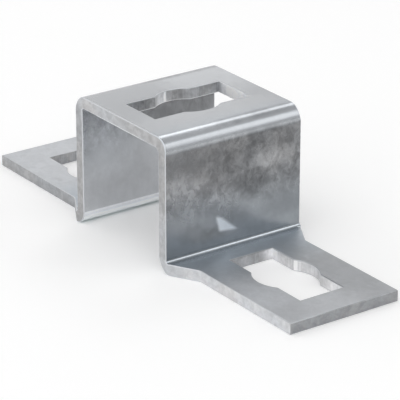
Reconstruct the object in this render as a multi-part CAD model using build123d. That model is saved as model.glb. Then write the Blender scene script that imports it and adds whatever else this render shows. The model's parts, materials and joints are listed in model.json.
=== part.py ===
from build123d import *
from collections import Counter
import os

# Strut fitting folded from one strip of galvanised steel sheet.
# Seen from the end it is a hat: foot, wall, top plate, wall, foot.
# It sits over a length of square strut, which runs along Y, and its feet
# bolt down to what lies under it.
# X runs from foot to foot, Y along the strut, Z up from the undersides of
# the feet. The origin is on that plane, below the middle of the top plate.

# The sheet and its four bends
sheet = 4.0                 # thickness
bend_inside = 1.2           # radius on the hollow side of each bend
edge_round = 0.4            # radius of the soft edges that punching and zinc leave

# The hat
channel_width = 44.0        # clear width between the walls
channel_height = 42.0       # clear height under the top plate
hat_depth = 53.5            # along the strut

# The feet
overall_length = 168.0      # from the end of one foot to the end of the other
foot_width = 42.0           # narrower than the hat
taper_length = 10.2         # over which the hat's depth comes down to the foot's width
taper_corner = 1.5          # radius where the taper starts, and where it meets the foot

# The cut-out in the top plate and in each foot: a rectangle with a round middle
slot_length = 37.0
slot_width = 16.8
slot_round = 21.8           # diameter of the round middle
foot_slot_spacing = 108.0   # between the middles of the two foot cut-outs

# What follows from them
bend_outside = bend_inside + sheet
wall_inner = channel_width / 2
wall_outer = wall_inner + sheet
top_height = channel_height + sheet
foot_end = overall_length / 2
taper_start = wall_outer + bend_inside / 2   # halfway through the bend
taper_end = taper_start + taper_length


def sheet_line(wall_x, foot_z, plate_z, foot_bend, plate_bend):
    """One side of the folded sheet, seen from the end: a line with four round bends."""
    corners = [
        (-foot_end, foot_z),
        (-wall_x, foot_z),
        (-wall_x, plate_z),
        (wall_x, plate_z),
        (wall_x, foot_z),
        (foot_end, foot_z),
    ]
    return FilletPolyline(*corners, radius=[foot_bend, plate_bend, plate_bend, foot_bend])


def folded_strip():
    """The sheet folded to its hat section, as deep as the hat all along."""
    with BuildPart() as strip:
        with BuildSketch(Plane.XZ):
            with BuildLine():
                upper = sheet_line(wall_outer, sheet, top_height, bend_inside, bend_outside)
                lower = sheet_line(wall_inner, 0, channel_height, bend_outside, bend_inside)
                Line(upper @ 0, lower @ 0)
                Line(upper @ 1, lower @ 1)
            make_face()
        extrude(amount=hat_depth / 2, both=True)
    return strip.part


def outline_from_above():
    """The fitting's outline in plan, as high as the fitting: the hat, tapers, then the feet."""
    hat_corner = (taper_start, hat_depth / 2)
    foot_corner = (taper_end, foot_width / 2)
    with BuildSketch() as plan:
        with BuildLine():
            FilletPolyline(
                (0, hat_depth / 2),
                hat_corner,
                foot_corner,
                (foot_end, foot_width / 2),
                radius=taper_corner,
            )
            Line((foot_end, foot_width / 2), (foot_end, 0))
            mirror(about=Plane.XZ)
            mirror(about=Plane.YZ)
        make_face()
    return extrude(plan.sketch, amount=top_height)


def cut_out(x, under, turn):
    """The punch for one cut-out, through the sheet whose lower face is at this height."""
    with BuildSketch() as hole:
        Rectangle(slot_length, slot_width)
        Circle(slot_round / 2)
    punch = extrude(hole.sketch, amount=sheet)
    return Pos(x, 0, under) * Rot(0, 0, turn) * punch


def punched_edges(body, strip):
    """The edges on both faces of the sheet that punching made: outline and cut-outs.

    The strip's two faces run from foot to foot. What is left of them on the body
    is in patches, one for each flat and bend. Two patches share each bend line,
    and only one has each punched edge.
    """
    rolled = strip.faces().sort_by(Axis.Y)[1:-1].sort_by(Axis.X)[1:-1]
    touch = 0.01
    patches = [
        face for face in body.faces()
        if min(side.distance_to(face.center()) for side in rolled) < touch
    ]
    shared = Counter(edge for patch in patches for edge in patch.edges())
    return [edge for edge, patch_count in shared.items() if patch_count == 1]


strip = folded_strip()
fitting = strip & outline_from_above()
fitting -= cut_out(0, channel_height, 90)
for side in (-1, 1):
    fitting -= cut_out(side * foot_slot_spacing / 2, 0, 0)
fitting = fillet(punched_edges(fitting, strip), radius=edge_round)

steel_density = 7.85e-3     # grams in a cubic millimetre
print("weight", round(fitting.volume * steel_density), "g")

os.makedirs("parts", exist_ok=True)
export_step(fitting, "parts/strut_fitting.step")
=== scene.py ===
# %% [markdown]
# # A folded strut fitting
# This is a hat-shaped fitting for steel strut framing: one strip of galvanised sheet, punched flat and then
# folded four times. It sits over a length of strut, and its two feet bolt down to what lies beneath.
# The frame already holds it as a plain solid at its real size. This lesson dresses that solid: it folds the
# fitting again in Geometry Nodes, with the soft edges and swollen bends of real sheet, gives it its coat of
# zinc, and lights it. Everything is in metres and in the frame's own axes: X from foot to foot, Y along the
# strut, Z up from the undersides of the feet.

# %% Load the frame
import bmesh
import bpy
import json
import math
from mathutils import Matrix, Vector


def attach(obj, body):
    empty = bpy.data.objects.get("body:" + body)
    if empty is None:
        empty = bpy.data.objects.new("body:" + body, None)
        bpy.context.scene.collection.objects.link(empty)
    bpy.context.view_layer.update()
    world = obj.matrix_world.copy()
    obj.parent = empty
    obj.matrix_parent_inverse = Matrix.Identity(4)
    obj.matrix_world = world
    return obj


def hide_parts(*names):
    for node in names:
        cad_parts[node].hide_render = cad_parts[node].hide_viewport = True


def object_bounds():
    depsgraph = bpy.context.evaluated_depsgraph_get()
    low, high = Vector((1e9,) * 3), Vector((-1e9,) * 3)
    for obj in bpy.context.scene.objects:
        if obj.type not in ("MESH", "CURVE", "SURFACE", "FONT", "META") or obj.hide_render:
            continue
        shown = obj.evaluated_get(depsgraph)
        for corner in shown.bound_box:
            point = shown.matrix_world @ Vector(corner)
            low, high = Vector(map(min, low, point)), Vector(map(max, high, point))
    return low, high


MM = 0.001                   # the frame is in metres, the sizes below are easier to read in millimetres
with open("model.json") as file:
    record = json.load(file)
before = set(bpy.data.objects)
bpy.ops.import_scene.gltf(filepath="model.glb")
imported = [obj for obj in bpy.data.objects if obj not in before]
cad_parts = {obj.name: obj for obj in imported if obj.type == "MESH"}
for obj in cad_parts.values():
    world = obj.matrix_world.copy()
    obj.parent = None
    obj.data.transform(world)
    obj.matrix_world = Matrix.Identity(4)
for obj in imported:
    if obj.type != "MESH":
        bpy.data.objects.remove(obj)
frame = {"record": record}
cad_low, cad_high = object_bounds()
print("frame box in mm", [round(side / MM, 1) for side in cad_high - cad_low])

# %% [markdown]
# ## The camera
# The photograph looks down at the fitting from beyond the near corner of its right foot. Its edges hardly
# draw together with distance, so it was taken from far off through a long lens. A camera could be placed by
# eye, but here its direction, distance and lens were solved from a few corners of the part whose real places
# are known, so that the render can be laid over the photograph.

# %% Camera at the photograph's angle
camera = bpy.data.objects.new("camera", bpy.data.cameras.new("camera"))
bpy.context.scene.collection.objects.link(camera)
bpy.context.scene.camera = camera
azimuth, elevation = math.radians(54.6937), math.radians(22.84)
aim = Vector((5.38, 1.16, 12.12)) * MM
distance = 837.83            # also in millimetres
away = Vector((
    math.sin(azimuth) * math.cos(elevation),
    -math.cos(azimuth) * math.cos(elevation),
    math.sin(elevation),
))
camera.location = aim + away * distance * MM
camera.rotation_euler = (-away).to_track_quat("-Z", "Y").to_euler()
camera.data.sensor_width = 36
camera.data.lens = 229.09
camera.data.clip_start = 0.01
print("camera at", [round(c, 3) for c in camera.location], "with a lens of", round(camera.data.lens, 2), "mm")

# %% [markdown]
# ## A small kit for node trees
# Node trees are usually drawn by hand. In a script each node takes a few calls, so four helpers keep the
# trees short: one adds a node and fills its inputs, and the others are shorthand for sums and for vectors.
# They work for Geometry Nodes and for materials alike.

# %% Node helpers
def add(tree, kind, inputs=(), **settings):
    """Adds a node. inputs maps an input's name or number to a value, or to the output that feeds it."""
    node = tree.nodes.new(kind)
    for name, value in settings.items():
        setattr(node, name, value)
    for key, value in dict(inputs).items():
        if isinstance(value, bpy.types.NodeSocket):
            tree.links.new(value, node.inputs[key])
        else:
            node.inputs[key].default_value = value
    return node


def maths(tree, operation, *values, clamp=False):
    """The result of a sum on single numbers, such as maths(tree, "ADD", a, b)."""
    return add(tree, "ShaderNodeMath", dict(enumerate(values)), operation=operation, use_clamp=clamp).outputs[0]


def xyz(tree, x=0.0, y=0.0, z=0.0):
    """A vector put together from its three numbers."""
    return add(tree, "ShaderNodeCombineXYZ", {0: x, 1: y, 2: z}).outputs[0]


def parts_of(tree, vector):
    """The three numbers of a vector."""
    return add(tree, "ShaderNodeSeparateXYZ", {0: vector}).outputs


print("node helpers ready")

# %% [markdown]
# A Geometry Nodes tree has an interface, the named inputs that show up on its modifier. The tree can then
# make the same fitting in other sizes, for a wider strut or thicker sheet, without a change to its nodes.

# %% Start and end of a tree
def new_tree(name, numbers, finish=False, mesh_in=False):
    """An empty Geometry Nodes tree whose inputs are the named numbers. Returns it and its inputs."""
    tree = bpy.data.node_groups.new(name, "GeometryNodeTree")
    tree.interface.new_socket("Geometry", in_out="OUTPUT", socket_type="NodeSocketGeometry")
    if mesh_in:
        tree.interface.new_socket("Geometry", in_out="INPUT", socket_type="NodeSocketGeometry")
    for number in numbers:
        tree.interface.new_socket(number, in_out="INPUT", socket_type="NodeSocketFloat")
    if finish:
        tree.interface.new_socket("Finish", in_out="INPUT", socket_type="NodeSocketMaterial")
    return tree, tree.nodes.new("NodeGroupInput").outputs


def finish_tree(tree, geometry):
    """Leads the geometry out of the tree, and says how large the tree is."""
    tree.links.new(geometry, tree.nodes.new("NodeGroupOutput").inputs[0])
    print(tree.name, "has", len(tree.nodes), "nodes")


print("tree helpers ready")

# %% [markdown]
# ## One stroke of the press
# The fitting is a flat strip until a press folds it. It could be modelled folded, but then each bend needs a
# careful loft, and the slanted cuts, which run on into the bends, are hard to get right. So this tree does
# what the press does. It takes a strip that lies along X and folds both ends of it at once, at the same
# distance from the middle: what lies in the bend goes round an arc, and what lies beyond is carried along.

# %% Press stroke, where each point is on the strip
stroke, size = new_tree(
    "press_stroke", ["Bend line", "Up or down", "Middle radius", "Sheet", "Bulge", "Depth"], mesh_in=True)
here = parts_of(stroke, add(stroke, "GeometryNodeInputPosition").outputs[0])
side = maths(stroke, "SIGN", here[0])
from_middle = maths(stroke, "ABSOLUTE", here[0])
up = maths(stroke, "MULTIPLY", here[2], size["Up or down"])
arc = maths(stroke, "MULTIPLY", size["Middle radius"], math.pi / 2)
past_line = maths(stroke, "SUBTRACT", from_middle, size["Bend line"])
angle = maths(stroke, "MULTIPLY", maths(stroke, "DIVIDE", past_line, arc, clamp=True), math.pi / 2)
carried = maths(stroke, "MAXIMUM", maths(stroke, "SUBTRACT", past_line, arc), 0.0)
sine, cosine = maths(stroke, "SINE", angle), maths(stroke, "COSINE", angle)
radius = maths(stroke, "SUBTRACT", size["Middle radius"], up)
print("a point goes round by its angle, at its own radius")

# %% Press stroke, where the fold takes it
new_out = maths(stroke, "MINIMUM", from_middle, size["Bend line"])
new_out = maths(stroke, "MULTIPLY_ADD", radius, sine, new_out)
new_out = maths(stroke, "MULTIPLY_ADD", carried, cosine, new_out)
new_up = maths(stroke, "SUBTRACT", size["Middle radius"], maths(stroke, "MULTIPLY", radius, cosine))
new_up = maths(stroke, "MULTIPLY_ADD", carried, sine, new_up)
print("a point past the bend is carried along its end")

# %% [markdown]
# A press squeezes the sheet inside a bend and stretches it outside, so the cut edges swell a little on the
# inside and shrink on the outside. It is a small thing, but it bends the light along those edges. Here the
# swelling rises from nothing at both ends of the bend to its full size halfway round.

# %% Press stroke, swollen edges
halfway = maths(stroke, "SINE", maths(stroke, "MULTIPLY", angle, 2.0))
half_sheet = maths(stroke, "MULTIPLY", size["Sheet"], 0.5)
half_depth = maths(stroke, "MULTIPLY", size["Depth"], 0.5)
squeezed = maths(stroke, "DIVIDE", maths(stroke, "MULTIPLY", halfway, up), half_sheet)
swell = maths(stroke, "DIVIDE", maths(stroke, "MULTIPLY", squeezed, size["Bulge"]), half_depth)
new_deep = maths(stroke, "MULTIPLY_ADD", here[1], swell, here[1])
folded = add(stroke, "GeometryNodeSetPosition", {
    "Geometry": size["Geometry"],
    "Position": xyz(stroke, maths(stroke, "MULTIPLY", side, new_out), new_deep,
                    maths(stroke, "MULTIPLY", size["Up or down"], new_up)),
})
finish_tree(stroke, folded.outputs[0])

# %% [markdown]
# ## The blank
# Now the strip itself. Some of its sizes are read off the frame: the overall box, and the mounts, which are
# the flat faces and the cut-outs where the fitting meets other parts. The rest are what a drawing of the
# fitting would give. Together they are the inputs of its tree.

# %% Sizes of the fitting
mounts = {mount["name"]: mount["pos_m"] for mount in frame["record"]["mounts"]}
fitting_sizes = {
    "Sheet": mounts["left_foot_bolt_seat"][2],
    "Bend inside": 1.2 * MM,
    "Bulge": 0.25 * MM,
    "Channel width": 44 * MM,
    "Channel height": mounts["strut_seat"][2],
    "Hat depth": cad_high[1] - cad_low[1],
    "Overall length": cad_high[0] - cad_low[0],
    "Foot width": 42 * MM,
    "Taper start": 26.6 * MM,     # from the middle of the top plate, on the folded fitting
    "Taper end": 36.8 * MM,
    "Taper round": 0.3 * MM,      # how softly the slanted edge meets the straight ones
    "Corner reach": 0.6 * MM,     # how far each side of that corner the blank needs fine columns
    "Slot length": 37 * MM,
    "Slot width": 16.8 * MM,
    "Slot round": 21.8 * MM,
    "Foot slot": mounts["right_foot_cut_out"][0],
}
tree, size = new_tree("folded_fitting", fitting_sizes, finish=True)
print({name: round(value / MM, 2) for name, value in fitting_sizes.items()})

# %% [markdown]
# A bender works from the flat: how long each straight run is, and how much strip each bend uses up. Sheet
# keeps its length along its middle layer, so a bend takes a quarter circle of the middle radius. These sums
# run from the middle of the top plate out to one foot, and the other half is the same.

# %% Lengths on the flat
half_channel = maths(tree, "MULTIPLY", size["Channel width"], 0.5)
middle_radius = maths(tree, "MULTIPLY_ADD", size["Sheet"], 0.5, size["Bend inside"])
arc = maths(tree, "MULTIPLY", middle_radius, math.pi / 2)
wall_x = maths(tree, "MULTIPLY_ADD", size["Sheet"], 0.5, half_channel)
plate_z = maths(tree, "MULTIPLY_ADD", size["Sheet"], 0.5, size["Channel height"])
plate_half = maths(tree, "SUBTRACT", wall_x, middle_radius)
wall_flat = maths(tree, "MULTIPLY_ADD", middle_radius, -2.0, size["Channel height"])
foot_line = maths(tree, "ADD", maths(tree, "ADD", plate_half, arc), wall_flat)
foot_start = maths(tree, "ADD", wall_x, middle_radius)
gain = maths(tree, "SUBTRACT", maths(tree, "ADD", foot_line, arc), foot_start)   # how much longer it is flat
print("two bend lines on each side, at the plate and at the foot")

# %% [markdown]
# The blank starts as a box cut into columns: many thin ones where it will bend or where its edge turns a
# corner, one wide one where it stays flat. A box's columns are all alike, so each is then moved to its place
# along the strip. Fewer columns in the flats keep the mesh light, and leave no ripple for light to catch.

# %% Columns of the blank
bend_columns, corner_columns = 16, 6
corner_span = maths(tree, "MULTIPLY", size["Corner reach"], 2.0)
to_corner = maths(tree, "SUBTRACT", size["Taper end"], foot_start)
to_corner = maths(tree, "SUBTRACT", to_corner, size["Corner reach"])
foot_flat = maths(tree, "MULTIPLY_ADD", size["Overall length"], 0.5, maths(tree, "MULTIPLY", foot_start, -1.0))
rest_of_foot = maths(tree, "SUBTRACT", maths(tree, "SUBTRACT", foot_flat, to_corner), corner_span)
stretches = [
    (1, plate_half), (bend_columns, arc), (1, wall_flat), (bend_columns, arc),
    (1, to_corner), (corner_columns, corner_span), (1, rest_of_foot),
]
half_count = sum(count for count, _ in stretches)
box = add(tree, "GeometryNodeMeshCube", {
    "Size": xyz(tree, 2.0 * half_count, 1.0, size["Sheet"]), "Vertices X": 2 * half_count + 1})
at = parts_of(tree, add(tree, "GeometryNodeInputPosition").outputs[0])
column = maths(tree, "ABSOLUTE", at[0])
run, first = 0.0, 0
for count, length in stretches:
    share = add(tree, "ShaderNodeMapRange", {0: column, 1: float(first), 2: float(first + count), 4: length})
    run = maths(tree, "ADD", run, share.outputs[0])
    first += count
print("the blank has", 2 * half_count, "columns")

# %% [markdown]
# The strip is as deep as the hat, and narrows to the width of a foot along two slanted cuts. One rule gives
# the depth all along: a slanted line, held between the two straight ones by a smooth minimum and maximum,
# which also round the corners where the lines meet.

# %% Outline of the blank
half_hat = maths(tree, "MULTIPLY", size["Hat depth"], 0.5)
half_foot = maths(tree, "MULTIPLY", size["Foot width"], 0.5)
slant = add(tree, "ShaderNodeMapRange", {
    0: run, 1: maths(tree, "ADD", size["Taper start"], gain), 2: maths(tree, "ADD", size["Taper end"], gain),
    3: half_hat, 4: half_foot,
}, clamp=False).outputs[0]
half_width = maths(tree, "SMOOTH_MIN", half_hat, slant, size["Taper round"])
half_width = maths(tree, "SMOOTH_MAX", half_foot, half_width, size["Taper round"])

normal_z = parts_of(tree, add(tree, "GeometryNodeInputNormal").outputs[0])[2]
told_apart = add(tree, "GeometryNodeStoreNamedAttribute", {
    "Geometry": box.outputs[0], "Name": "sheet_face",
    "Value": maths(tree, "GREATER_THAN", maths(tree, "ABSOLUTE", normal_z), 0.5),
}, data_type="FLOAT", domain="FACE")
blank = add(tree, "GeometryNodeSetPosition", {
    "Geometry": told_apart.outputs[0],
    "Position": xyz(
        tree,
        maths(tree, "MULTIPLY", maths(tree, "SIGN", at[0]), run),
        maths(tree, "MULTIPLY", maths(tree, "MULTIPLY", at[1], 2.0), half_width),
        at[2]),
})
print("its two rolled faces are marked sheet_face, and its cut ones aren't")

# %% [markdown]
# ## The cut-outs
# The three cut-outs are one punch used three times: a bar with a round through its middle, so that a bolt
# can pass, and slide. It goes through each foot along the strip, and through the top plate across it. On the
# folded fitting each cut-out would need its own height and direction. On the flat blank, as in the press,
# they lie in one line, and one Boolean cuts all three.

# %% Punch the blank
through = maths(tree, "MULTIPLY", size["Sheet"], 3.0)
bar = add(tree, "GeometryNodeMeshCube", {"Size": xyz(tree, size["Slot length"], size["Slot width"], through)})
round_bar = add(tree, "GeometryNodeMeshCylinder", {
    "Vertices": 128, "Radius": maths(tree, "MULTIPLY", size["Slot round"], 0.5), "Depth": through})
punch = add(tree, "GeometryNodeMeshBoolean", operation="UNION", solver="EXACT")
for solid in (bar, round_bar):
    tree.links.new(solid.outputs[0], punch.inputs["Mesh 2"])

foot_slot = maths(tree, "ADD", size["Foot slot"], gain)
middles = add(tree, "GeometryNodeMeshLine", {
    "Count": 3,
    "Start Location": xyz(tree, maths(tree, "MULTIPLY", foot_slot, -1.0)),
    "Offset": xyz(tree, foot_slot),
}, mode="END_POINTS")
is_plate = maths(tree, "COMPARE", add(tree, "GeometryNodeInputIndex").outputs[0], 1.0, 0.1)
across = xyz(tree, z=maths(tree, "MULTIPLY", is_plate, math.pi / 2))
punches = add(tree, "GeometryNodeInstanceOnPoints", {
    "Points": middles.outputs[0], "Instance": punch.outputs[0],
    "Rotation": add(tree, "FunctionNodeEulerToRotation", {0: across}).outputs[0]})
punches = add(tree, "GeometryNodeRealizeInstances", {0: punches.outputs[0]})
punched = add(tree, "GeometryNodeMeshBoolean", {
    "Mesh 1": blank.outputs[0]}, operation="DIFFERENCE", solver="EXACT")
tree.links.new(punches.outputs[0], punched.inputs["Mesh 2"])
print("one punch, three cut-outs")

# %% [markdown]
# Where a rolled face meets a cut, punching and zinc leave a soft edge. Those edges are marked while the blank
# is flat and the two kinds of face are easy to tell apart: an edge between them averages to one half. A Bevel
# modifier rounds them later. Each point also keeps its place on the flat blank, for the finish to use.

# %% Mark the soft edges
face_kind = add(tree, "GeometryNodeInputNamedAttribute", {"Name": "sheet_face"}, data_type="FLOAT").outputs[0]
on_edge = add(tree, "GeometryNodeFieldOnDomain", {0: face_kind}, data_type="FLOAT", domain="EDGE").outputs[0]
soft_edge = maths(tree, "COMPARE", on_edge, 0.5, 0.1)
marked = add(tree, "GeometryNodeStoreNamedAttribute", {
    "Geometry": punched.outputs[0], "Name": "bevel_weight_edge", "Value": soft_edge,
}, data_type="FLOAT", domain="EDGE")
placed = add(tree, "GeometryNodeStoreNamedAttribute", {
    "Geometry": marked.outputs[0], "Name": "flat_place",
    "Value": add(tree, "GeometryNodeInputPosition").outputs[0],
}, data_type="FLOAT_VECTOR", domain="POINT")
print("soft edges are those between a rolled face and a cut one")

# %% [markdown]
# ## Fold it
# Two strokes of the press make the hat: the feet first, upwards, while the strip can still lie on the die,
# then the walls, downwards. Faces shade smoothly round the bends. Edges that are sharp and not to be
# rounded stay crisp, such as the corners inside a cut-out.

# %% Fold the blank
folding = placed.outputs[0]
for line, direction in ((foot_line, 1.0), (plate_half, -1.0)):
    folding = add(tree, "GeometryNodeGroup", {
        "Geometry": folding, "Bend line": line, "Up or down": direction, "Middle radius": middle_radius,
        "Sheet": size["Sheet"], "Bulge": size["Bulge"], "Depth": size["Hat depth"],
    }, node_tree=stroke).outputs[0]
lifted = add(tree, "GeometryNodeSetPosition", {"Geometry": folding, "Offset": xyz(tree, z=plate_z)})
least_crisp = math.radians(35)
sharp = add(tree, "GeometryNodeInputMeshEdgeAngle").outputs["Unsigned Angle"]
sharp = maths(tree, "GREATER_THAN", sharp, least_crisp)
sharp = maths(tree, "MULTIPLY", sharp, maths(tree, "SUBTRACT", 1.0, soft_edge))
smooth = add(tree, "GeometryNodeSetShadeSmooth", {"Geometry": lifted.outputs[0]})
crisp = add(tree, "GeometryNodeSetShadeSmooth", {
    "Geometry": smooth.outputs[0], "Selection": sharp, "Shade Smooth": False}, domain="EDGE")
whole = add(tree, "GeometryNodeRealizeInstances", {0: crisp.outputs[0]})
coated = add(tree, "GeometryNodeSetMaterial", {"Geometry": whole.outputs[0], "Material": size["Finish"]})
finish_tree(tree, coated.outputs[0])

# %% [markdown]
# ## The galvanised coat
# Hot zinc leaves a skin that is metal all over. So the finish is one Principled shader that is fully metallic,
# and what varies over it is how light it is, how rough and how bumpy. A photograph could be wrapped round the
# part instead, but nodes have no seams, stay sharp close up, and can go on other parts.
# A few helpers first. A mask is 1 where something shows and 0 elsewhere. fade makes one, both joins two or
# more, and tally adds up how much each of them brings.

# %% Start the coat
steel = bpy.data.materials.new("galvanised_steel")
steel.use_nodes = True
coat = steel.node_tree
surface = coat.nodes["Principled BSDF"]
surface.inputs["Metallic"].default_value = 1.0


def fade(value, start, end, low=0.0, high=1.0):
    """Goes smoothly from low to high as the value goes from start to end."""
    return add(coat, "ShaderNodeMapRange", {0: value, 1: start, 2: end, 3: low, 4: high},
               interpolation_type="SMOOTHSTEP").outputs[0]


def both(first, *others):
    """A mask that is 1 only where all of these are."""
    for other in others:
        first = maths(coat, "MULTIPLY", first, other)
    return first


def tally(base, *shares):
    """The base, plus an amount for each mask. shares are pairs of a mask and its amount."""
    for mask, amount in shares:
        base = maths(coat, "MULTIPLY_ADD", mask, amount, base)
    return base


print("metallic", surface.inputs["Metallic"].default_value)

# %% [markdown]
# A pattern needs to know where on the fitting it is. Object coordinates say where a point is in space. The
# attribute flat_place says where it was on the blank, so that a pattern on it follows the sheet round its
# bends, as the mottle of real sheet does. The tree left sheet_face on the mesh, and rounded is added later.

# %% Where a point of the coat is
object_place = add(coat, "ShaderNodeTexCoord").outputs["Object"]
place = parts_of(coat, object_place)
out = maths(coat, "ABSOLUTE", place[0])
height = place[2]
facing_side = maths(coat, "ABSOLUTE", parts_of(coat, add(coat, "ShaderNodeNewGeometry").outputs["Normal"])[0])
flat_place = add(coat, "ShaderNodeAttribute", attribute_name="flat_place").outputs["Vector"]
from_centre_line = maths(coat, "ABSOLUTE", parts_of(coat, flat_place)[1])

sheet_face = add(coat, "ShaderNodeAttribute", attribute_name="sheet_face").outputs["Fac"]
is_round = add(coat, "ShaderNodeAttribute", attribute_name="rounded").outputs["Fac"]
on_sheet = maths(coat, "MAXIMUM", sheet_face, is_round)
on_flat_sheet = maths(coat, "SUBTRACT", on_sheet, is_round)
is_cut = maths(coat, "SUBTRACT", 1.0, on_sheet)
print("three kinds of surface: rolled, cut and rounded")

# %% [markdown]
# ## Mottle
# Zinc sets in patches. On the fitting they show at three sizes, from broad clouds to flecks of a millimetre or
# two. One noise texture with much detail would give them all the same contrast, so each size has its own.

# %% Mottle of the sheet
def noise(x, y, z, offset=0.0, detail=2.0, roughness=0.5, distortion=0.0):
    """Noise on the blank, in grains of x, y and z millimetres."""
    grains = add(coat, "ShaderNodeVectorMath", {
        0: flat_place, 1: (1 / (x * MM), 1 / (y * MM), 1 / (z * MM)), 2: (offset, offset, offset),
    }, operation="MULTIPLY_ADD")
    return add(coat, "ShaderNodeTexNoise", {
        "Vector": grains.outputs[0], "Scale": 1.0,
        "Detail": detail, "Roughness": roughness, "Distortion": distortion,
    }).outputs[0]


broad = noise(16, 11, 16, detail=1.5, distortion=0.3)
patch = noise(4.2, 3.8, 4.2, offset=7.0, detail=4.0, roughness=0.62, distortion=0.8)
fleck = noise(1.9, 1.7, 1.9, offset=3.0, distortion=1.0)
mottle = maths(coat, "ADD", fade(broad, 0.3, 0.7, -0.4, 0.4), fade(patch, 0.34, 0.66, -0.85, 0.85))
mottle = maths(coat, "ADD", mottle, fade(fleck, 0.3, 0.7, -0.45, 0.45))
print("mottle in grains of 16, 4 and 2 mm")

# %% [markdown]
# The cut faces look different. A punch leaves fine marks down the sides of a cut-out, and the zinc over a cut
# is spotty. The marks are noise stretched through the thickness of the sheet.

# %% Marks on the cut faces
inside_outline = both(fade(from_centre_line, 20.4 * MM, 20 * MM), fade(out, 82 * MM, 81 * MM))
in_hole = both(inside_outline, is_cut)
in_plate_hole = both(in_hole, fade(out, 14 * MM, 12 * MM))
in_plate_sides = both(in_plate_hole, fade(facing_side, 0.3, 0.7))
punch_marks = noise(0.7, 0.7, 9.0, offset=5.0)
spots = noise(2.4, 2.4, 2.0, offset=1.0, detail=4.0, roughness=0.65, distortion=0.5)
cut_mottle = tally(fade(spots, 0.3, 0.7, -0.7, 0.7), (in_hole, fade(punch_marks, 0.3, 0.7, -0.4, 0.4)))
print("punch marks 0.7 mm apart")

# %% [markdown]
# ## Painted dark walls, painted bright bends
# In the photograph the outsides of the walls and the ends of the feet reflect something dark, and look dull.
# Here they reflect a pale floor, so that dark reflection is painted into their colour instead, as painted
# shade.
# The outsides of the lower bends are painted bright, a painted highlight, and the crease of each foot is
# darker.

# %% Painted dark, painted bright and creased places
on_side = fade(facing_side, 0.86, 0.97)
on_wall = both(fade(out, 24.5 * MM, 25.5 * MM), fade(out, 30 * MM, 28 * MM), fade(height, 42.8 * MM, 40.4 * MM))
# painted shade: the outer walls and the ends of the feet are painted darker, for the dark they reflect
painted_dark_wall = both(on_side, on_wall)
painted_dark_end = both(on_side, fade(out, 82 * MM, 83 * MM))

wall_outside = fitting_sizes["Channel width"] / 2 + fitting_sizes["Sheet"]
bend_centre = [side + fitting_sizes["Bend inside"] for side in (wall_outside, fitting_sizes["Sheet"])]
from_bend = add(coat, "ShaderNodeVectorMath", {
    0: xyz(coat, out, 0.0, height), 1: (bend_centre[0], 0.0, bend_centre[1]),
}, operation="DISTANCE").outputs["Value"]
# painted highlight: the outsides of the lower bends are painted bright
painted_bright_bend = both(fade(from_bend, 4 * MM, 5 * MM), fade(height, 5.3 * MM, 4.5 * MM), fade(out, 29 * MM, 28 * MM))
crease = both(fade(height, 4.6 * MM, 4.2 * MM), fade(height, 3 * MM, 3.6 * MM), fade(out, 29 * MM, 27.6 * MM))
print("lower bends turn about", [round(c / MM, 1) for c in bend_centre])

# %% [markdown]
# ## Clouds
# Mottle alone looks the same everywhere, while the photograph has lighter and darker places on each face. So
# the coat has a list of soft clouds, each with a place, a size and a strength, some of them patches in the zinc
# and many of them painted light and shade. A point is pushed about by noise before it is compared with them,
# which frays their edges. The push goes along Y and Z, never through the sheet of a wall, and lies between
# nothing and its full length.

# %% Push the points about
drift_grain, drift_push = 5 * MM, 8 * MM
grains = add(coat, "ShaderNodeVectorMath", {
    0: flat_place, 1: (1 / drift_grain, 1 / drift_grain, 1 / drift_grain), 2: (11.0, 11.0, 11.0),
}, operation="MULTIPLY_ADD")
drift = add(coat, "ShaderNodeTexNoise", {"Vector": grains.outputs[0], "Scale": 1.0, "Detail": 3.0})
drifting = add(coat, "ShaderNodeVectorMath", {
    0: drift.outputs["Color"], 1: (0.0, drift_push, drift_push), 2: object_place,
}, operation="MULTIPLY_ADD").outputs[0]
print("points pushed by up to", round(drift_push / MM), "mm")

# %% [markdown]
# A cloud is a soft ball, squashed to its three half sizes. Its strength is full in the middle, and fades from
# the inner to the outer share of those sizes.

# %% One cloud
def cloud(x, y, z, half_x, half_y, half_z, strength, seen=drifting, drifted=4, inner=0.35, outer=1.25):
    """How much one cloud adds to the tone. drifted is how far its points are pushed on average, in mm."""
    scale = (1 / (half_x * MM), 1 / (half_y * MM), 1 / (half_z * MM))
    shift = (-x / half_x, -(y + drifted) / half_y, -(z + drifted) / half_z)
    offset = add(coat, "ShaderNodeVectorMath", {0: seen, 1: scale, 2: shift}, operation="MULTIPLY_ADD")
    how_far = add(coat, "ShaderNodeVectorMath", {0: offset.outputs[0]}, operation="LENGTH").outputs["Value"]
    return fade(how_far, outer, inner, 0.0, strength)


print("cloud helper ready")
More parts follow.
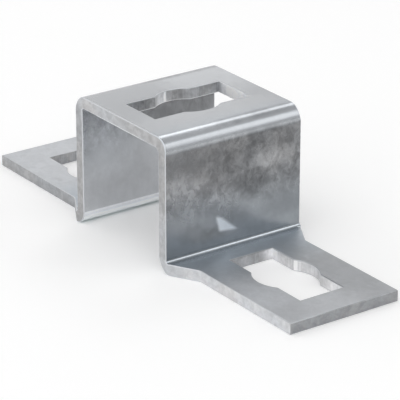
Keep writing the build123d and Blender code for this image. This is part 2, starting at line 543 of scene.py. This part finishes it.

# %% [markdown]
# Each row is one cloud: its middle and its half sizes in millimetres, then how much lighter or darker it is.
# First comes the wall that the camera sees, then the other wall, the insides of both, the top plate and the
# feet. On the outer walls they are partly patches in the zinc and partly painted reflections and shade, inside
# the hat painted shade and light, and on the top plate and the feet painted light and shade. The outsides of
# the upper bends stay clear, so that their bright lines run straight.

# %% The list of clouds
clouds = [
    (26, 0, 38, 3, 40, 8, -0.28),
    (26, 4, 7, 3, 40, 5, 0.24),
    (26, -9, 10, 3, 7, 3, -0.3),
    (26, -3, 29, 3, 8, 7, -0.21),
    (26, 8, 24, 3, 8, 5, -0.36),
    (26, 22, 25, 3, 7, 5, -0.1),
    (26, 13, 31, 3, 5, 4, 0.2),
    (26, -21, 27, 3, 9, 6, 0.5),
    (26, -12, 19, 3, 10, 6, 0.48),
    (26, -25, 14, 3, 6, 8, 0.32),
    (26, 2, 14, 3, 12, 7, 0.3),
    (-26, 4, 38, 3, 40, 8, -0.3),
    (-26, -9, 28, 3, 9, 7, -0.34),
    (-26, 14, 20, 3, 12, 6, 0.4),
    (-22, 14, 37, 3, 27, 13, -0.65),
    (-22, -26, 28, 3, 14, 18, 0.2),
    (-22, -14, 24, 3, 10, 10, 0.2),
    (-22, -24, 40, 3, 16, 6, -0.14),
    (22, 10, 36, 3, 24, 14, -0.4),
    (-14, 16, 46, 18, 18, 3, 0.2),
    (15, -6, 46, 12, 32, 3, 0.15),
    (-70, -8, 4, 40, 40, 3, 0.26),
    (64, 16, 4, 34, 16, 3, -0.22),
    (59, -18, 4, 15, 12, 3, 0.25),
]
# the clouds, partly zinc patches and partly painted light and shade, and the painted highlight on the lower
# bends add up here
patch_and_painted_light_tone = tally(0.0, (painted_bright_bend, 0.68), (crease, -0.25))
for shape in clouds:
    patch_and_painted_light_tone = maths(coat, "ADD", patch_and_painted_light_tone, cloud(*shape))
upper_bend = both(
    fade(height, 40.5 * MM, 41.5 * MM), fade(height, 45.2 * MM, 44.4 * MM), fade(out, 23 * MM, 24 * MM))
clouded = both(on_flat_sheet, maths(coat, "SUBTRACT", 1.0, upper_bend))
patch_and_painted_light_tone = tally(1.0, (patch_and_painted_light_tone, clouded))
print(len(clouds), "clouds")

# %% [markdown]
# A few small places get painted highlights. One is a painted reflection, a four-sided bright spot low on the
# right wall. Each of its edges is a direction, in Y and Z, and how far the spot reaches that way in
# millimetres.
# A point is in the spot if it is inside all four.

# %% The painted reflection on the wall
painted_reflection_edges = [(0.21, 0.978, 13.5), (0.653, 0.758, 7.9), (-0.093, -0.996, -9.3), (-0.97, -0.244, 3.3)]
painted_reflection_strength = 0.9
# painted reflection: a bright spot painted onto the right wall
painted_light = both(painted_dark_wall, fade(place[0], 0.0, 1 * MM, 0.0, painted_reflection_strength))
for toward_y, toward_z, edge in painted_reflection_edges:
    that_way = add(coat, "ShaderNodeVectorMath", {
        0: object_place, 1: (0.0, toward_y, toward_z)}, operation="DOT_PRODUCT").outputs["Value"]
    painted_light = both(painted_light, fade(that_way, (edge + 0.6) * MM, (edge - 0.8) * MM))
print("a spot with", len(painted_reflection_edges), "edges")

# %% [markdown]
# The walls of the cut-outs have painted highlights and painted shade too. The brightest highlights are where a
# round opens out of its slot, at the far end of the plate's cut-out and in the far corner of the foot's. They
# are listed as the clouds are, the plate's first, but have no drift and harder edges.

# %% Painted light and shade in the cut-outs
painted_light_places = [
    (-10, -3.6, 44, 3, 2.2, 8, 0.25),
    (-10.6, -1.5, 44, 3, 0.6, 8, 0.8),
    (-8.4, -14, 44, 2, 6, 8, -0.22),
    (-8.4, 14, 44, 2, 6, 8, -0.12),
    (3, 18.5, 44, 12, 1.2, 8, 0.75),
    (47.5, 8.9, 2, 0.6, 1, 8, 0.7),
    (51.5, 10, 2, 5, 2, 8, 0.13),
    (35.5, 8, 3, 3.5, 3.4, 3, 0.35),
    (35.5, -4.5, 2, 2, 9.5, 8, -0.35),
    (35.5, 3.2, 2, 2, 3.2, 8, -0.15),
    (41, 8.5, 2, 7, 2, 8, 0.14),
    (68.5, 8.5, 2, 5.5, 2, 8, 0.32),
]
# painted highlights and painted shade on the walls of the cut-outs
for shape in painted_light_places:
    painted_light = tally(painted_light, (in_hole, cloud(*shape, seen=object_place, drifted=0, inner=0.4, outer=1.3)))
print(len(painted_light_places), "light and dark places in the cut-outs")

# %% [markdown]
# ## Tone
# Tone is how light the zinc is painted at a point, where 1 is plain bright zinc; it holds painted light and
# shade too.
# The rolled faces take the clouds and the mottle, which is strong high on the outer walls and faint elsewhere.

# %% Tone of the sheet
# painted shade: the outer walls and the ends of the feet are painted darker
tone = tally(1.0, (painted_dark_wall, -0.54), (painted_dark_end, -0.3))
tone = maths(coat, "MULTIPLY", tone, patch_and_painted_light_tone)
inner_wall = both(fade(out, 23 * MM, 21.9 * MM), on_side)
uneven = both(
    painted_dark_wall, fade(height, 13 * MM, 26 * MM, 0.03, 0.23), fade(place[1], -20 * MM, -6 * MM, 0.5, 1.0))
uneven = tally(uneven, (inner_wall, fade(height, 24 * MM, 34 * MM, 0.025, 0.12)))
uneven = maths(coat, "ADD", uneven, fade(out, 28 * MM, 36 * MM, 0.015, 0.035))
tone = maths(coat, "MULTIPLY", tone, tally(1.0, (mottle, uneven)))
print("rolled faces toned")

# %% [markdown]
# The cut faces have levels of their own, partly painted light and shade. They are lightest on the feet, and the
# right foot's are painted lighter still. They are darker on the legs and along the plate, and at the ends of
# the feet, where it is painted shade. The right leg is painted lighter again towards its foot.

# %% Tone of the cut faces
leg = both(fade(out, 20.5 * MM, 22 * MM), fade(height, 44 * MM, 40 * MM), fade(place[0], 30 * MM, 27 * MM))
low_right_leg_painted_light = both(leg, fade(place[0], 0.0, 1 * MM), fade(height, 22 * MM, 19 * MM))
plate_edge = both(fade(height, 40 * MM, 44 * MM), fade(from_centre_line, 20 * MM, 20.4 * MM))
foot = fade(out, 27 * MM, 34 * MM)
right_foot = fade(place[0], 27 * MM, 34 * MM)
# painted light on the right foot's cut faces, painted shade at the ends of the feet
cut_level_and_painted_light = tally(0.94, (leg, -0.25), (foot, 0.07), (right_foot, 0.15), (painted_dark_end, -0.2))
cut_level_and_painted_light = tally(cut_level_and_painted_light, (cut_mottle, 0.16), (in_plate_sides, -0.02))
# painted light: the low right leg is lighter towards its foot
cut_level_and_painted_light = tally(cut_level_and_painted_light, (low_right_leg_painted_light, fade(height, 7 * MM, 4 * MM, 0.19, 0.3)))
cut_level_and_painted_light = tally(cut_level_and_painted_light, (plate_edge, fade(place[0], -10 * MM, 8 * MM, -0.09, -0.18)))
tone = maths(coat, "MULTIPLY", tone, tally(1.0, (is_cut, maths(coat, "SUBTRACT", cut_level_and_painted_light, 1.0))))
tone = maths(coat, "ADD", tone, painted_light)
print("cut faces toned")

# %% [markdown]
# Soft edges catch light from many sides, so the rounded edges are painted lighter than what they join, a
# painted highlight, most of all round the underside of the plate's cut-out, and least on the outer half of the
# right foot, where the photograph shows next to nothing of it.

# %% Tone of the rounded edges
# painted highlight on the rounded edges
painted_rim_highlight = fade(place[0], 44 * MM, 36 * MM, 0.04, 0.22)
under_plate_hole = both(fade(out, 14 * MM, 12 * MM), fade(height, 43 * MM, 42.5 * MM))
painted_rim_highlight = tally(painted_rim_highlight, (under_plate_hole, 0.48))
tone = maths(coat, "MULTIPLY", tone, tally(1.0, (is_round, painted_rim_highlight)))
print("rounded edges toned")

# %% [markdown]
# ## Colour
# Zinc is a cool grey. In the photograph it is bluer near the bends, and a little warmer on the cut faces and
# high on the walls. So there are three tints, blended by masks. The tint sets the colour, and the tone
# scales it.

# %% Colour
foot_bend = both(fade(from_bend, 26 * MM, 6 * MM), on_flat_sheet, fade(out, 23.5 * MM, 25 * MM))
plate_bend = both(fade(place[0], 14 * MM, 20 * MM, 0.0, 0.4), fade(height, 40 * MM, 41 * MM), on_sheet)
blue = maths(coat, "MAXIMUM", foot_bend, plate_bend)
warm = maths(coat, "MAXIMUM", is_cut, both(painted_dark_wall, fade(height, 18 * MM, 30 * MM, 0.0, 0.6)))
warm = both(warm, fade(broad, 0.35, 0.65, 0.0, 0.55))
plain_zinc = (0.575, 0.589, 0.611, 1.0)
warm_zinc = (0.602, 0.589, 0.583, 1.0)
blue_zinc = (0.545, 0.588, 0.632, 1.0)
tint = add(coat, "ShaderNodeMix", {"Factor": warm, "A": plain_zinc, "B": warm_zinc}, data_type="RGBA")
tint = add(coat, "ShaderNodeMix", {
    "Factor": blue, "A": tint.outputs["Result"], "B": blue_zinc}, data_type="RGBA")
colour = add(coat, "ShaderNodeVectorMath", {0: tint.outputs["Result"], "Scale": tone}, operation="SCALE")
coat.links.new(colour.outputs[0], surface.inputs["Base Color"])
print("plain zinc is", plain_zinc[:3])

# %% [markdown]
# ## Gloss and relief
# Roughness decides how sharp the reflections are, which on bare metal is most of what the eye sees. The sheet
# is fairly smooth, cut faces and feet are rougher, and the rounded edges are roughest, so that they
# don't sparkle. Bump tilts the light where the real surface is uneven: in patches on the walls, and along
# the punch marks. Both are too shallow to be worth any mesh.

# %% Gloss and relief
gloss = tally(0.26, (is_cut, 0.06), (fade(out, 28 * MM, 36 * MM), 0.24))
gloss = tally(gloss, (in_plate_hole, 0.3), (in_plate_sides, -0.1))
gloss = tally(gloss, (mottle, both(painted_dark_wall, fade(height, 13 * MM, 26 * MM, 0.01, 0.05))))
gloss = maths(coat, "MAXIMUM", gloss, maths(coat, "MULTIPLY", is_round, 0.58))
coat.links.new(gloss, surface.inputs["Roughness"])

relief = both(patch, painted_dark_wall, fade(height, 14 * MM, 26 * MM, 0.0, 0.3))
relief = tally(relief, (both(punch_marks, is_cut), 0.3))
bump = add(coat, "ShaderNodeBump", {"Height": relief, "Strength": 0.25, "Distance": 0.05 * MM})
coat.links.new(bump.outputs[0], surface.inputs["Normal"])
print("the coat has", len(coat.nodes), "nodes")

# %% [markdown]
# ## Run the tree
# A Geometry Nodes modifier runs the tree on an empty mesh, with the real sizes for its inputs. An input is
# set by its socket's identifier, because names needn't be unique. The Bevel modifier after it rounds the
# marked edges, and its hardened normals keep the flats flat. The result is then copied into a plain mesh.

# %% Make the fitting
fitting = bpy.data.objects.new("folded_fitting", bpy.data.meshes.new("folded_fitting"))
bpy.context.scene.collection.objects.link(fitting)
press = fitting.modifiers.new("press", "NODES")
press.node_group = tree
for socket in tree.interface.items_tree:
    if socket.in_out == "INPUT":
        press[socket.identifier] = steel if socket.name == "Finish" else fitting_sizes[socket.name]
soften = fitting.modifiers.new("soft_edges", "BEVEL")
soften.limit_method = "WEIGHT"
soften.width = 0.3 * MM
soften.segments = 3
soften.use_clamp_overlap = False
soften.harden_normals = True
made = fitting.evaluated_get(bpy.context.evaluated_depsgraph_get())
fitting.data = bpy.data.meshes.new_from_object(made)
fitting.data.name = "folded_fitting"
fitting.modifiers.clear()
print("the fitting has", len(fitting.data.polygons), "faces")

# %% [markdown]
# The Bevel modifier can't say which faces it made, but they are easy to know: much narrower than the rest, and
# at about thirty degrees to each other, a third of a right angle. They are marked here for the coat.

# %% Mark the rounded edges
widest = 0.2 * MM
least_turn, most_turn = 26, 36
shape = bmesh.new()
shape.from_mesh(fitting.data)
rounded = fitting.data.attributes.new("rounded", "FLOAT", "FACE")
for face in shape.faces:
    width = face.calc_area() / max(edge.calc_length() for edge in face.edges)
    turns = [math.degrees(edge.calc_face_angle(0)) for edge in face.edges]
    turned = any(least_turn < turn < most_turn for turn in turns)
    rounded.data[face.index].value = turned and width < widest
shape.free()
print(sum(1 for mark in rounded.data if mark.value), "of them are rounded")

# %% [markdown]
# The fitting now takes the place of the plain solid in the frame. It rides on the frame's one body.

# %% Put it in the frame
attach(fitting, "root")
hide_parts("strut_fitting")
print(fitting.name, "is at", list(fitting.location))

# %% [markdown]
# ## The floor
# The photograph has a pure white background. More light would whiten a floor too, but would also wash out the
# fitting. So the floor is pale paper, a diffuse shader that keeps the fitting's shadow, and only rays from
# the camera and in reflections see it white. To the light that it bounces up, it is plain paper. Its white is
# a little over 1, because slightly less than a full measure of light falls on it.

# %% Floor
floor = bpy.data.objects.new("floor", bpy.data.meshes.new("floor"))
reach = 6.0
corners = [(-reach, -reach, 0), (reach, -reach, 0), (reach, reach, 0), (-reach, reach, 0)]
floor.data.from_pydata(corners, [], [(0, 1, 2, 3)])
bpy.context.scene.collection.objects.link(floor)
paper = bpy.data.materials.new("pale_floor")
paper.use_nodes = True
ground = paper.node_tree
ground.nodes.clear()
rays = add(ground, "ShaderNodeLightPath").outputs
seen = maths(ground, "MAXIMUM", rays["Is Glossy Ray"], rays["Is Transmission Ray"])
seen = maths(ground, "MAXIMUM", rays["Is Camera Ray"], seen)
plain_paper, seen_paper = 0.8, 1.07
grey = add(ground, "ShaderNodeMapRange", {0: seen, 3: plain_paper, 4: seen_paper}).outputs[0]
matt = add(ground, "ShaderNodeBsdfDiffuse", {
    0: add(ground, "ShaderNodeCombineColor", {0: grey, 1: grey, 2: grey}).outputs[0]})
ground.links.new(matt.outputs[0], add(ground, "ShaderNodeOutputMaterial").inputs[0])
floor.data.materials.append(paper)
print("floor", 2 * reach, "m across")

# %% [markdown]
# ## The world
# Metal has hardly a look of its own: it shows what stands round it. The surroundings can be read back from
# the fitting, because each face and each step round a bend reflects one direction. Low down, and to the
# left, they are bright, and above that an even grey. The world is that, and no more.

# %% World
world = bpy.data.worlds.new("studio")
bpy.context.scene.world = world
world.use_nodes = True
sky = world.node_tree
sky.nodes.clear()
toward = parts_of(sky, add(sky, "ShaderNodeTexCoord").outputs["Generated"])   # a direction of length 1
full_below, gone_above = 0.31, 0.47          # 18 and 28 degrees above the horizon
full_at_left, gone_at_right = -0.7, 0.9
low_down = add(sky, "ShaderNodeMapRange", {
    0: toward[2], 1: full_below, 2: gone_above, 3: 1.0, 4: 0.0,
}, interpolation_type="SMOOTHSTEP").outputs[0]
leftward = add(sky, "ShaderNodeMapRange", {
    0: toward[0], 1: full_at_left, 2: gone_at_right, 3: 1.0, 4: 0.0,
}, interpolation_type="SMOOTHSTEP").outputs[0]
plain_grey, glow = 0.54, 0.9
level = maths(sky, "MULTIPLY_ADD", maths(sky, "MULTIPLY", low_down, leftward), glow - plain_grey, plain_grey)
backdrop = add(sky, "ShaderNodeBackground", {
    0: add(sky, "ShaderNodeCombineColor", {0: level, 1: level, 2: level}).outputs[0], 1: 1.0})
sky.links.new(backdrop.outputs[0], add(sky, "ShaderNodeOutputWorld").inputs[0])
print("the world is", plain_grey, "and", glow, "where it glows")

# %% [markdown]
# ## The lamps
# Four flat soft lamps stand round the fitting. The two at the back are small and bright, and draw the two
# bright lines along the upper bend. The front left one lights the cut edges that face it. The one at the front
# right fills the feet and the inside of the hat. It is large and dim, because the top plate mirrors it when it
# is seen from behind, and must not turn white. A lamp's level is how bright its face looks in a reflection, so
# its power follows from the level and the area.

# %% Lamps
def soft_light(name, toward, distance, width, height, level):
    """A flat soft lamp that faces the fitting. level is how bright it looks, where 1 is white."""
    lamp = bpy.data.lights.new(name, "AREA")
    lamp.shape = "RECTANGLE"
    lamp.size, lamp.size_y = width, height
    lamp.energy = level * math.pi * width * height
    stand = bpy.data.objects.new(name, lamp)
    stand.location = Vector(toward).normalized() * distance
    stand.rotation_euler = (-stand.location).to_track_quat("-Z", "Y").to_euler()
    bpy.context.scene.collection.objects.link(stand)
    print(name, round(lamp.energy, 2), "W")


soft_light("back_left_lamp", (-0.43, 0.55, 0.72), 1.2, 0.5, 0.28, 1.6)
soft_light("back_right_lamp", (0.61, 0.56, 0.55), 1.2, 0.35, 0.62, 0.95)
soft_light("front_left_lamp", (-0.75, -0.39, 0.53), 1.2, 0.6, 0.4, 1.2)
soft_light("front_right_lamp", (0.4, -0.6, 1.0), 2.2, 3.2, 3.2, 0.85)
bpy.context.scene.view_settings.view_transform = "Standard"
